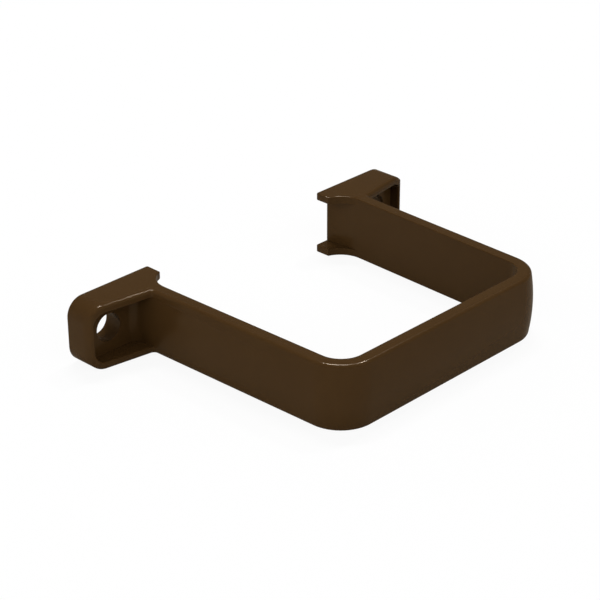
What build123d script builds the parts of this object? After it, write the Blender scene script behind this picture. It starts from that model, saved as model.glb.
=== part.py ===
"""Downpipe clip: one moulded band that holds a square downpipe to a wall.

The wall is the plane y = 0 and the clip stands out from it towards -Y. The pipe runs
along Z, and the origin is midway between the two screws. Both sides are alike, so the
half at +X is modelled first and then mirrored.
"""

import os
from math import atan, cos, pi, radians, sin, sqrt, tan

from build123d import *

# The pipe that the clip holds, and how the clip holds it off the wall
pipe_width = 65.0
side_clearance = 0.35
front_clearance = 0.2
wall_standoff = 2.5

# Band: a flat inner face, a crowned outer face, and arms that spring a little outwards
band_height = 17.0
band_wall = 4.2
band_crown = 0.8
bend_radius = 6.0
arm_splay = 1.7
outer_edge_round = 1.0
inner_edge_round = 0.3

# Ears: trays that are open to the front, deepest beside the arm
ear_reach = 55.4
ear_root_depth = 11.0
ear_end_depth = 8.0
ear_end_corner = 4.6
ear_front_corner = 3.0
flange = 2.0
end_rim = 1.8
back_plate = 5.0
root_blend = 0.8
floor_blend = 2.5
rim_edge_round = 0.4

# Screw holes through the back plates
screw_hole = 7.3
screw_inset = 8.4

# Nibs: the flanges carried inwards and hollowed for the pipe's rear corner
nib_reach = 5.0
nib_corner = 0.6
hollow_radius = 6.85
hollow_depth = 11.0

# Heels: between the nibs the arm thickens towards the wall
heel_length = 8.0
heel_height = 1.0

# Positions closer together than this count as one
tolerance = 0.01

inner_depth = wall_standoff + pipe_width + front_clearance
overall_depth = inner_depth + band_wall
edge_depth = overall_depth - band_crown
half_height = band_height / 2
pocket_level = half_height - flange
half_width = pipe_width / 2 + side_clearance
splay_slope = tan(radians(arm_splay))

# Where the arm's inner face leaves the bend
arm_start_x = half_width - bend_radius + bend_radius * cos(radians(arm_splay))
arm_start_y = -inner_depth + bend_radius - bend_radius * sin(radians(arm_splay))


def arm_inner_x(y):
    """X of the arm's inner face at the depth y."""
    return arm_start_x + (y - arm_start_y) * splay_slope


def is_outside(edge):
    """True for an edge on the outer side of the band or on the ear."""
    middle = edge @ 0.5
    beside_arm = middle.X > arm_inner_x(middle.Y) + band_wall / 2
    return beside_arm or middle.Y < -inner_depth


def is_before_plate(edge):
    """True for an edge in front of the back plate."""
    return (edge @ 0.5).Y < -back_plate


def is_clear(edge):
    """True for an edge off the wall plane, the plane of symmetry and the end's curve."""
    middle = edge @ 0.5
    on_end_curve = abs(middle.X - ear_reach + ear_end_corner) < tolerance
    return middle.Y < -tolerance and middle.X > tolerance and not on_end_curve


def outline_edges(part):
    """The edges round the top and bottom faces."""
    levels = part.faces().filter_by(Axis.Z).group_by(Axis.Z)
    faces = levels[0] + levels[-1]
    return ShapeList(edge for face in faces for edge in face.edges()).filter_by(is_clear)


# Middle of the arm's wall: ear and nibs start here, inside the band
root_x = arm_inner_x(-ear_root_depth) + band_wall / 2

# The round of the ear's front corner runs from the end face to the slanted front face
front_slant = atan((ear_root_depth - ear_end_depth) / (ear_reach - root_x))
corner_setback = ear_front_corner * tan(pi / 4 - front_slant / 2)
corner_start = (ear_reach, corner_setback - ear_end_depth)
corner_stop_x = ear_reach - corner_setback * cos(front_slant)
corner_stop = (corner_stop_x, -ear_end_depth - corner_setback * sin(front_slant))
beyond_x = ear_reach + ear_front_corner

# Hollow of the nib: its arc leaves the arm's inner face and ends above the nib's tip
hollow_start = (arm_inner_x(-hollow_depth), -hollow_depth)
nib_x = arm_inner_x(0) - nib_reach
nib_offset = nib_x - hollow_start[0] + hollow_radius
nib_y = sqrt(hollow_radius**2 - nib_offset**2) - hollow_depth


with BuildPart() as downpipe_clip:
    # Ear block
    with BuildSketch() as ear_plan:
        with BuildLine():
            Polyline(
                (root_x, 0),
                (ear_reach, 0),
                (ear_reach, -ear_end_depth),
                (root_x, -ear_root_depth),
                close=True,
            )
        make_face()
    extrude(amount=half_height, both=True)
    end_edges = downpipe_clip.edges().filter_by(Axis.Y).group_by(Axis.X)[-1]
    fillet(end_edges, ear_end_corner)

    # Pocket in the ear's front, which the arm closes on its inner side
    with BuildSketch(Plane.XZ.offset(back_plate)) as pocket:
        with BuildLine():
            Polyline(
                (root_x, -pocket_level),
                (ear_reach - end_rim, -pocket_level),
                (ear_reach - end_rim, pocket_level),
                (root_x, pocket_level),
                close=True,
            )
        make_face()
        fillet(pocket.vertices().group_by(Axis.X)[-1], ear_end_corner - end_rim)
    extrude(amount=ear_root_depth, mode=Mode.SUBTRACT)

    # Nibs at the bottom and the top
    for level in (-half_height, pocket_level):
        with BuildSketch(Plane.XY.offset(level)) as nib_plan:
            with BuildLine():
                Polyline(
                    hollow_start,
                    (root_x, -hollow_depth),
                    (root_x, 0),
                    (nib_x, 0),
                    (nib_x, nib_y),
                )
                RadiusArc((nib_x, nib_y), hollow_start, hollow_radius)
            make_face()
            nib_tips = nib_plan.vertices().group_by(Axis.X)[0]
            fillet(nib_tips.sort_by(Axis.Y)[-1], nib_corner)
        extrude(amount=flange)

    # Heel between the nibs
    with BuildSketch() as heel_plan:
        with BuildLine():
            heel_start = (arm_inner_x(-heel_length), -heel_length)
            heel_end = (arm_inner_x(0) - heel_height, 0)
            TangentArc(heel_start, heel_end, tangent=(splay_slope, 1))
            Polyline(heel_end, (root_x, 0), (root_x, -heel_length), heel_start)
        make_face()
    extrude(amount=half_height, both=True)

    # Band, swept along the line of its inner face and cut off at the wall
    with BuildLine() as inner_line:
        front_bar = Line((0, -inner_depth), (half_width - bend_radius, -inner_depth))
        bend = JernArc(front_bar @ 1, front_bar % 1, bend_radius, 90 - arm_splay)
        PolarLine(bend @ 1, length=inner_depth, direction=bend % 1)
    with BuildSketch(Plane.YZ) as band_section:
        with BuildLine():
            Polyline(
                (-edge_depth, -half_height),
                (-inner_depth, -half_height),
                (-inner_depth, half_height),
                (-edge_depth, half_height),
            )
            ThreePointArc(
                (-edge_depth, half_height),
                (-overall_depth, 0),
                (-edge_depth, -half_height),
            )
        make_face()
    sweep(path=inner_line.wires()[0])
    split(bisect_by=Plane.XZ)

    # Hollow corners where the flanges and the pocket's floor meet the arm
    root_zone = (-ear_root_depth, -ear_root_depth + flange)
    root_edges = downpipe_clip.edges().filter_by_position(Axis.Y, *root_zone).filter_by(is_outside)
    fillet(root_edges.filter_by(lambda edge: edge.length < flange + root_blend), root_blend)
    floor_edges = downpipe_clip.edges().filter_by_position(Axis.Y, -back_plate, -back_plate)
    fillet(floor_edges.sort_by(Axis.X)[0], floor_blend)

    # Round of the band's outer edges, carried on round the front of the ear
    outer_edges = outline_edges(downpipe_clip).filter_by(is_outside)
    end_zone = (ear_reach - end_rim + tolerance, ear_reach)
    end_front_edges = downpipe_clip.edges().filter_by_position(Axis.X, *end_zone).filter_by(is_before_plate)
    fillet(outer_edges + end_front_edges, outer_edge_round)

    # Upright round of the ear's front corner
    with BuildSketch() as front_corner:
        with BuildLine():
            Polyline(
                corner_start,
                (beyond_x, corner_start[1]),
                (beyond_x, -ear_root_depth),
                (corner_stop_x, -ear_root_depth),
                corner_stop,
            )
            RadiusArc(corner_stop, corner_start, -ear_front_corner)
        make_face()
    extrude(amount=half_height, both=True, mode=Mode.SUBTRACT)

    # Fine rounds of the inner edges, the edges at the wall and the pocket's rim
    inner_edges = outline_edges(downpipe_clip).filter_by(lambda edge: not is_outside(edge))
    fillet(inner_edges, inner_edge_round)
    flat_faces = downpipe_clip.faces().filter_by(GeomType.PLANE)
    fillet(flat_faces.sort_by(Axis.Y)[-1].edges(), inner_edge_round)
    flat_faces = downpipe_clip.faces().filter_by(GeomType.PLANE)
    front_face = flat_faces.filter_by_position(Axis.Y, -ear_root_depth, -ear_end_depth)[0]
    rim_edges = front_face.edges().filter_by_position(Axis.X, root_x, ear_reach - end_rim)
    fillet(rim_edges.filter_by_position(Axis.Z, -pocket_level, pocket_level), rim_edge_round)

    # Screw hole
    with Locations(Plane((ear_reach - screw_inset, -back_plate, 0), z_dir=(0, -1, 0))):
        Hole(radius=screw_hole / 2, depth=back_plate)

    mirror(about=Plane.YZ)

downpipe_clip.part.label = "downpipe_clip"
os.makedirs("parts", exist_ok=True)
export_step(downpipe_clip.part, "parts/downpipe_clip.step")
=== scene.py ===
# %% [markdown]
# Downpipe clip in Blender
#
# The clip is one moulding of glossy brown plastic: a square U-shaped band that goes round a square
# downpipe, with an ear at each end for a wall screw. Its solid shape is ready before this lesson
# starts, so the lesson gives it a smooth skin, a plastic finish, a pale studio and a camera.
# Everything is in metres. The wall is the plane y = 0, the clip stands out from it towards -Y, and
# the pipe runs along Z.

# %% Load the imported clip
from math import cos, pi, radians, sin

import bpy
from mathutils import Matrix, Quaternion, Vector


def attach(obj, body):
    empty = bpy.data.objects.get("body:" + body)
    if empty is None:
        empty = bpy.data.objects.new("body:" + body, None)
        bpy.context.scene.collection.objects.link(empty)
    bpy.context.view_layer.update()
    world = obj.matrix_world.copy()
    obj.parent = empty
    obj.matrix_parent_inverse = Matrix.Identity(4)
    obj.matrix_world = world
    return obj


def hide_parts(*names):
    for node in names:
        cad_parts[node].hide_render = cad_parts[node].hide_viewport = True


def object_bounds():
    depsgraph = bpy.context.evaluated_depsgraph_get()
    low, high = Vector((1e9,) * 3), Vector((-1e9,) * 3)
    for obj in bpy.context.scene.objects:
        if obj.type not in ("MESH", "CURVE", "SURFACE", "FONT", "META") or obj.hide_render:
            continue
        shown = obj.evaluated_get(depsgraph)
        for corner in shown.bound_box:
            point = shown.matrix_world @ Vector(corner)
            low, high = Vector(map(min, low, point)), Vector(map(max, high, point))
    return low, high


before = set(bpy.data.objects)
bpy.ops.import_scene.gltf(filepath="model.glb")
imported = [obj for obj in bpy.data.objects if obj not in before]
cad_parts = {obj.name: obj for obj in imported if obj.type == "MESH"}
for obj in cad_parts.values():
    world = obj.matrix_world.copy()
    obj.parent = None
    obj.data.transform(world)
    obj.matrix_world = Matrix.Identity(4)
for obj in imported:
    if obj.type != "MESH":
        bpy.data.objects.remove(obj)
cad_low, cad_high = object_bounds()
clip_size = cad_high - cad_low
print("clip size in mm:", [round(length * 1000, 1) for length in clip_size])

# %% [markdown]
# The skin of the moulding
#
# A moulded part has one unbroken skin: flat faces, and rounds that run into them without a crease.
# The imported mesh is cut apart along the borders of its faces, so light would break there. Its
# corners could be welded by hand in Edit Mode. Geometry Nodes do it here in a way that can be
# repeated: one node merges the doubled corners, one shades every face smooth, and one keeps an edge
# sharp where two faces meet at more than a set angle, as they do where the flat nibs meet the arm.

# %% Build the weld tree
def add_input(tree, name, kind):
    """Adds a named input to the tree and returns its identifier."""
    return tree.interface.new_socket(name, in_out="INPUT", socket_type=kind).identifier


def make_weld_tree():
    """Makes the tree that welds and smooths a mesh. Returns it with its inputs' identifiers."""
    tree = bpy.data.node_groups.new("weld_moulding", "GeometryNodeTree")
    add_input(tree, "Mesh", "NodeSocketGeometry")
    inputs = {
        "gap": add_input(tree, "Weld gap", "NodeSocketFloat"),
        "angle": add_input(tree, "Sharp angle", "NodeSocketFloat"),
        "finish": add_input(tree, "Finish", "NodeSocketMaterial"),
    }
    tree.interface.new_socket("Mesh", in_out="OUTPUT", socket_type="NodeSocketGeometry")
    entry = tree.nodes.new("NodeGroupInput")
    weld = tree.nodes.new("GeometryNodeMergeByDistance")
    smooth = tree.nodes.new("GeometryNodeSetShadeSmooth")
    edge_angle = tree.nodes.new("GeometryNodeInputMeshEdgeAngle")
    compare = tree.nodes.new("FunctionNodeCompare")
    crease = tree.nodes.new("GeometryNodeSetShadeSmooth")
    realize = tree.nodes.new("GeometryNodeRealizeInstances")
    set_finish = tree.nodes.new("GeometryNodeSetMaterial")
    leave = tree.nodes.new("NodeGroupOutput")
    compare.data_type = "FLOAT"
    compare.operation = "LESS_THAN"
    crease.domain = "EDGE"
    link = tree.links.new
    link(entry.outputs["Mesh"], weld.inputs["Geometry"])
    link(entry.outputs["Weld gap"], weld.inputs["Distance"])
    link(weld.outputs["Geometry"], smooth.inputs["Geometry"])
    link(smooth.outputs["Geometry"], crease.inputs["Geometry"])
    link(edge_angle.outputs["Unsigned Angle"], compare.inputs["A"])
    link(entry.outputs["Sharp angle"], compare.inputs["B"])
    link(compare.outputs["Result"], crease.inputs["Shade Smooth"])
    link(crease.outputs["Geometry"], realize.inputs["Geometry"])
    link(realize.outputs["Geometry"], set_finish.inputs["Geometry"])
    link(entry.outputs["Finish"], set_finish.inputs["Material"])
    link(set_finish.outputs["Geometry"], leave.inputs["Mesh"])
    return tree, inputs


weld_tree, weld_inputs = make_weld_tree()
print("weld tree nodes:", len(weld_tree.nodes))

# %% [markdown]
# The plastic
#
# The clip is dark brown uPVC with a high gloss. Such plastic is coloured all through, and its gloss
# comes from the polished mould. So its colour hardly changes, and its surface varies only a little:
# a faint wave where the melt cooled, a slight change in gloss, and a fine grain. Noise in Object
# coordinates gives them at their real size. The specular tint warms the mirrored light a little, as
# on the real clip.

# %% Make the plastic
plastic_colour = (0.054, 0.027, 0.0085, 1)
plastic_colour_deep = (0.047, 0.0233, 0.0073, 1)
specular_level = 0.4
specular_tint = (1.0, 0.8, 0.6, 1)
roughness_low = 0.12
roughness_high = 0.18
wave_length = 0.012
wave_detail = 3
wave_height = 0.0001
grain_length = 0.0009
grain_detail = 2
grain_height = 0.00001
bump_strength = 0.15

# The sockets of a Mix node share their names, so the ones for colours go by their places
mix_factor = 0
mix_first = 6
mix_second = 7
mix_result = 2


def add_noise(tree, place, length, detail):
    """Adds noise on Object coordinates, with waves of about this length."""
    noise = tree.nodes.new("ShaderNodeTexNoise")
    noise.inputs["Scale"].default_value = 1 / length
    noise.inputs["Detail"].default_value = detail
    tree.links.new(place.outputs["Object"], noise.inputs["Vector"])
    return noise


def add_bump(tree, noise, height):
    """Adds a bump of this height that follows the noise."""
    bump = tree.nodes.new("ShaderNodeBump")
    bump.inputs["Strength"].default_value = bump_strength
    bump.inputs["Distance"].default_value = height
    tree.links.new(noise.outputs["Fac"], bump.inputs["Height"])
    return bump


def make_plastic():
    """Makes the glossy brown plastic."""
    material = bpy.data.materials.new("brown_gloss_plastic")
    material.use_nodes = True
    tree = material.node_tree
    link = tree.links.new
    shader = tree.nodes["Principled BSDF"]
    shader.inputs["Specular IOR Level"].default_value = specular_level
    shader.inputs["Specular Tint"].default_value = specular_tint
    place = tree.nodes.new("ShaderNodeTexCoord")
    wave = add_noise(tree, place, wave_length, wave_detail)
    grain = add_noise(tree, place, grain_length, grain_detail)
    colour = tree.nodes.new("ShaderNodeMix")
    colour.data_type = "RGBA"
    colour.inputs[mix_first].default_value = plastic_colour_deep
    colour.inputs[mix_second].default_value = plastic_colour
    link(wave.outputs["Fac"], colour.inputs[mix_factor])
    link(colour.outputs[mix_result], shader.inputs["Base Color"])
    roughness = tree.nodes.new("ShaderNodeMapRange")
    roughness.inputs["To Min"].default_value = roughness_low
    roughness.inputs["To Max"].default_value = roughness_high
    link(wave.outputs["Fac"], roughness.inputs["Value"])
    link(roughness.outputs["Result"], shader.inputs["Roughness"])
    wave_bump = add_bump(tree, wave, wave_height)
    grain_bump = add_bump(tree, grain, grain_height)
    link(wave_bump.outputs["Normal"], grain_bump.inputs["Normal"])
    link(grain_bump.outputs["Normal"], shader.inputs["Normal"])
    return material


plastic = make_plastic()
print("plastic nodes:", len(plastic.node_tree.nodes))

# %% [markdown]
# Welding the clip
#
# The tree runs as a modifier on a copy of the clip's mesh, and the result becomes a plain mesh,
# because the finished piece has to stand by itself. Only corners within a thousandth of a
# millimetre of each other are merged, so the size stays the same, and the welded piece then stands
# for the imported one.

# %% Weld the clip
weld_gap = 1e-6
sharp_angle = radians(52)


def weld_moulding(source, name, finish):
    """Returns a new object: the source's mesh, welded, smoothed and finished."""
    raw = bpy.data.objects.new(name + "_raw", source.data.copy())
    bpy.context.scene.collection.objects.link(raw)
    modifier = raw.modifiers.new("weld", "NODES")
    modifier.node_group = weld_tree
    modifier[weld_inputs["gap"]] = weld_gap
    modifier[weld_inputs["angle"]] = sharp_angle
    modifier[weld_inputs["finish"]] = finish
    graph = bpy.context.evaluated_depsgraph_get()
    mesh = bpy.data.meshes.new_from_object(raw.evaluated_get(graph), depsgraph=graph)
    mesh.name = name
    bpy.data.objects.remove(raw)
    piece = bpy.data.objects.new(name, mesh)
    bpy.context.scene.collection.objects.link(piece)
    return piece


clip_skin = weld_moulding(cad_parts["downpipe_clip"], "clip_moulding", plastic)
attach(clip_skin, "root")
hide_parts("downpipe_clip")
print("skin:", len(clip_skin.data.vertices), "corners,", len(clip_skin.data.polygons), "faces")

# %% [markdown]
# The floor's finish
#
# The clip lies on a plain pale floor. A real floor comes out grey unless it gets so much light that
# the clip bleaches. Here each kind of ray meets the floor in its own way instead, which the Light
# Path node tells apart. Rays from the camera, and those through glass, see it glow white, with the
# clip's faint shadow on it. Rays that carry light from face to face see a plain pale floor, which
# lights the sides of the clip. Mirrored rays see it dim and a little warm, because a dark gloss
# plastic that mirrors a white floor loses its brown.

# %% Make the floor's finish
floor_colour = (0.5, 0.5, 0.5, 1)
shown_colour = (0.06, 0.06, 0.06, 1)
shown_glow = 0.92
shown_glow_colour = (1, 1, 1, 1)
mirrored_glow = 0.16
mirrored_glow_colour = (1.0, 0.8, 0.55, 1)


def add_glow(tree, rays, strength, colour):
    """Adds a glow that is seen only by the rays for which the socket gives 1."""
    share = tree.nodes.new("ShaderNodeMath")
    share.operation = "MULTIPLY"
    share.inputs[1].default_value = strength
    tree.links.new(rays, share.inputs[0])
    glow = tree.nodes.new("ShaderNodeEmission")
    glow.inputs["Color"].default_value = colour
    tree.links.new(share.outputs["Value"], glow.inputs["Strength"])
    return glow


def add_both(tree, first, second):
    """Adds the node that sums two shaders."""
    both = tree.nodes.new("ShaderNodeAddShader")
    tree.links.new(first.outputs[0], both.inputs[0])
    tree.links.new(second.outputs[0], both.inputs[1])
    return both


def make_floor_finish(name):
    """Makes a matt surface that also glows for the rays that show a background."""
    material = bpy.data.materials.new(name)
    material.use_nodes = True
    tree = material.node_tree
    link = tree.links.new
    tree.nodes.remove(tree.nodes["Principled BSDF"])
    path = tree.nodes.new("ShaderNodeLightPath")
    shown = tree.nodes.new("ShaderNodeMath")
    shown.operation = "MAXIMUM"
    link(path.outputs["Is Camera Ray"], shown.inputs[0])
    link(path.outputs["Is Transmission Ray"], shown.inputs[1])
    shown_light = add_glow(tree, shown.outputs["Value"], shown_glow, shown_glow_colour)
    mirrored_rays = path.outputs["Is Glossy Ray"]
    mirrored_light = add_glow(tree, mirrored_rays, mirrored_glow, mirrored_glow_colour)
    pale = tree.nodes.new("ShaderNodeMix")
    pale.data_type = "RGBA"
    pale.inputs[mix_first].default_value = shown_colour
    pale.inputs[mix_second].default_value = floor_colour
    link(path.outputs["Is Diffuse Ray"], pale.inputs[mix_factor])
    matt = tree.nodes.new("ShaderNodeBsdfDiffuse")
    link(pale.outputs[mix_result], matt.inputs["Color"])
    glow = add_both(tree, shown_light, mirrored_light)
    surface = add_both(tree, matt, glow)
    link(surface.outputs["Shader"], tree.nodes["Material Output"].inputs["Surface"])
    return material


floor_finish = make_floor_finish("pale_floor")
print("floor finish nodes:", len(floor_finish.node_tree.nodes))

# %% [markdown]
# The floor
#
# A flat plane would do for a camera that looks down. Here the floor is round and its edge rises into
# a low wall, so that a camera near the floor still looks at a pale background from every side. Both
# are one small mesh: a ring of corners at the foot of the wall, and a ring at its top.

# %% Lay the floor
floor_level = cad_low.z
floor_radius = 3.0
wall_height = 0.6
ring_steps = 96


def make_backdrop(name, material):
    """Makes the round floor and the low wall at its edge as one mesh."""
    turns = [2 * pi * step / ring_steps for step in range(ring_steps)]
    edge = [(floor_radius * cos(turn), floor_radius * sin(turn)) for turn in turns]
    foot = [(x, y, floor_level) for x, y in edge]
    top = [(x, y, floor_level + wall_height) for x, y in edge]
    pairs = [(step, (step + 1) % ring_steps) for step in range(ring_steps)]
    floor = [list(range(ring_steps))]
    wall = [(here, here + ring_steps, there + ring_steps, there) for here, there in pairs]
    mesh = bpy.data.meshes.new(name)
    mesh.from_pydata(foot + top, [], floor + wall)
    mesh.materials.append(material)
    backdrop = bpy.data.objects.new(name, mesh)
    bpy.context.scene.collection.objects.link(backdrop)
    return backdrop


backdrop = make_backdrop("floor", floor_finish)
print("floor at z in mm:", round(floor_level * 1000, 2))

# %% [markdown]
# The soft boxes
#
# Four large soft boxes give the even light: from the left, from the front, from behind, and from
# high up over the camera, which reaches into the pockets of the ears. Each is placed by its
# direction and distance. A lamp's level says how bright it makes a white card that faces it, where
# 1 is white, so the levels can be compared. These boxes stay out of reflections, so that the flat
# faces show the colour of the plastic.

# %% Hang the soft boxes
lamp_distance = 2.5
lamp_centre = Vector((0, (cad_low.y + cad_high.y) / 2, 0))
plain_white = (1, 1, 1)
soft_boxes = {
    "left_box": {"azimuth": -105, "elevation": 22, "width": 3.4, "height": 1.8, "level": 0.66},
    "front_box": {"azimuth": 7, "elevation": 36, "width": 3.4, "height": 1.8, "level": 0.54},
    "back_box": {"azimuth": 150, "elevation": 14, "width": 1.6, "height": 1.6, "level": 0.25},
    "high_box": {"azimuth": -40, "elevation": 56, "width": 1.6, "height": 1.6, "level": 0.14},
}


def direction(azimuth, elevation):
    """The direction from the clip at these angles. Azimuth 0 is -Y and 90 is +X."""
    turn = radians(azimuth)
    rise = radians(elevation)
    return Vector((sin(turn) * cos(rise), -cos(turn) * cos(rise), sin(rise)))


def hang_lamp(name, azimuth, elevation, width, height, level, mirrored, colour=plain_white):
    """Hangs a soft lamp that faces the clip. Reflections show it only if mirrored is True."""
    data = bpy.data.lights.new(name, "AREA")
    data.color = colour
    data.shape = "RECTANGLE"
    data.size = width
    data.size_y = height
    # The power at which a white card that faces the lamp comes out at the level
    data.energy = level * pi**2 * lamp_distance**2
    lamp = bpy.data.objects.new(name, data)
    away = direction(azimuth, elevation)
    lamp.location = lamp_centre + away * lamp_distance
    lamp.rotation_mode = "QUATERNION"
    lamp.rotation_quaternion = away.to_track_quat("Z", "Y")
    lamp.visible_camera = False
    lamp.visible_glossy = mirrored
    bpy.context.scene.collection.objects.link(lamp)


for name, settings in soft_boxes.items():
    hang_lamp(name, **settings, mirrored=False)
print("soft boxes:", len(soft_boxes))

# %% [markdown]
# The cards that draw the highlights
#
# A gloss moulding is known by the thin pale lines on its rounds, and each line is the mirror image
# of a lamp. A wide, low card high up behind the clip draws the line on the near bend. Two small ones
# beside it carry that line on round the bend and along the front edge of the near ear. Cards that
# were larger would light the straight edges too, which are dark on the real clip. The flat tops
# mirror the place low behind the clip, so a large card hangs there. It is warm and very dim, and
# sets the tops off from their edges.

# %% Hang the cards
warm_colour = (1.0, 0.7, 0.28)
cards = {
    "bend_card": {"azimuth": 143, "elevation": 70, "width": 0.88, "height": 0.24, "level": 0.53},
    "spot_card": {"azimuth": 98.5, "elevation": 57, "width": 0.14, "height": 0.16, "level": 0.22},
    "ear_card": {"azimuth": 99.5, "elevation": 62.2, "width": 0.16, "height": 0.14, "level": 0.04},
    "top_card": {
        "azimuth": 134,
        "elevation": 27,
        "width": 1.5,
        "height": 0.9,
        "level": 0.003,
        "colour": warm_colour,
    },
}

for name, settings in cards.items():
    hang_lamp(name, **settings, mirrored=True)
print("cards:", len(cards))

# %% [markdown]
# The room
#
# The world is a dim grey room. It keeps the hollows from going black, and it is dim because the flat
# top of the clip mirrors it at a low angle, where a gloss plastic mirrors most.

# %% Fill the room with dim light
room_colour = (0.05, 0.05, 0.05, 1)

room = bpy.data.worlds.new("studio_room")
room.use_nodes = True
room.node_tree.nodes["Background"].inputs["Color"].default_value = room_colour
bpy.context.scene.world = room
print("room level:", room_colour[0])

# %% [markdown]
# The camera
#
# The camera stands to the front left of the clip and looks down on it through a long lens, as in the
# photograph. Its place could be typed in as coordinates. As a direction and a distance it can be
# compared with the lamps, whose directions are given in the same way.

# %% Set up the camera
camera_azimuth = -45.807
camera_elevation = 27.282
camera_roll = -0.231
camera_distance = 0.5035
camera_target = Vector((0.00644, -0.01661, -0.0085))
camera_lens = 119.23
camera_sensor = 36
camera_near = 0.01
camera_far = 20

camera_data = bpy.data.cameras.new("camera")
camera_data.lens = camera_lens
camera_data.sensor_width = camera_sensor
camera_data.clip_start = camera_near
camera_data.clip_end = camera_far
camera = bpy.data.objects.new("camera", camera_data)
bpy.context.scene.collection.objects.link(camera)
camera_back = direction(camera_azimuth, camera_elevation)
camera.location = camera_target + camera_back * camera_distance
camera.rotation_mode = "QUATERNION"
roll_turn = Quaternion((0, 0, 1), radians(camera_roll))
camera.rotation_quaternion = (-camera_back).to_track_quat("-Z", "Y") @ roll_turn
bpy.context.scene.camera = camera
bpy.context.scene.view_settings.view_transform = "Standard"
print("camera at", [round(value, 3) for value in camera.location])
